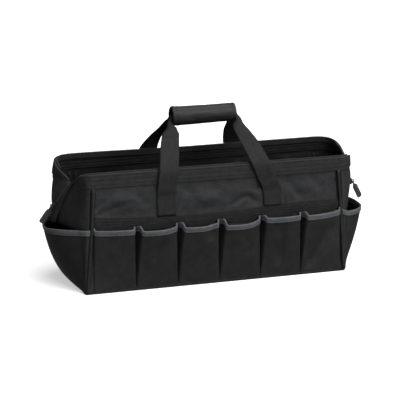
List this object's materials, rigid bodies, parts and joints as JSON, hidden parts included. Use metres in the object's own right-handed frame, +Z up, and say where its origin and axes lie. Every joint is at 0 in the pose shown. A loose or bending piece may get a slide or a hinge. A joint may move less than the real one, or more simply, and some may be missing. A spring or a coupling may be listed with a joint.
{
  "type": "tool bag",
  "caption": "Open-topped soft tool bag with bound outside pockets all round, a zipped mouth and webbing handles held together in a padded grip.",
  "frame": {"origin": "on the floor under the middle of the bag", "axes": "+X along the bag's length, to the right as seen from its front; -Y towards the front; +Z up"},
  "size_m": [0.703, 0.2346, 0.3565],
  "materials": {
    "cloth": "black polyester weave",
    "webbing": "matte black webbing",
    "binding": "slate grey binding tape",
    "tape": "black zip tape",
    "metal": "dark plated metal"
  },
  "bodies": {
    "bag": {"front_panel": "cloth", "back_panel": "cloth", "right_end_panel": "cloth", "left_end_panel": "cloth", "base_panel": "cloth", "front_band": "cloth", "back_band": "cloth", "front_hem": "cloth", "back_hem": "cloth", "front_zip_tape": "tape", "back_zip_tape": "tape", "left_zip_tail": "tape", "right_zip_tail": "tape", "front_left_piping": "cloth", "front_right_piping": "cloth", "back_right_piping": "cloth", "back_left_piping": "cloth", "front_pocket_1": "cloth", "front_pocket_2": "cloth", "front_pocket_3": "cloth", "front_pocket_4": "cloth", "front_pocket_5": "cloth", "front_pocket_6": "cloth", "front_binding_1": "binding", "front_binding_2": "binding", "front_binding_3": "binding", "front_binding_4": "binding", "front_binding_5": "binding", "front_binding_6": "binding", "back_pocket_1": "cloth", "back_pocket_2": "cloth", "back_pocket_3": "cloth", "back_pocket_4": "cloth", "back_pocket_5": "cloth", "back_pocket_6": "cloth", "back_binding_1": "binding", "back_binding_2": "binding", "back_binding_3": "binding", "back_binding_4": "binding", "back_binding_5": "binding", "back_binding_6": "binding", "left_end_pocket": "cloth", "left_end_binding": "binding", "right_end_pocket": "cloth", "right_end_binding": "binding", "front_strap": "webbing", "back_strap": "webbing", "grip": "cloth", "left_slider": "metal", "right_slider": "metal"},
    "left_pull": {"left_pull": "metal"},
    "right_pull": {"right_pull": "metal"}
  },
  "joints": [
    {"name": "left_pull_swing", "type": "hinge", "parent": "bag", "child": "left_pull", "pos_m": [-0.3293, 0, 0.166], "axis": [0, 1, 0], "range_deg": [0, 110]},
    {"name": "right_pull_swing", "type": "hinge", "parent": "bag", "child": "right_pull", "pos_m": [0.3293, 0, 0.166], "axis": [0, -1, 0], "range_deg": [-31, 110]}
  ]
}
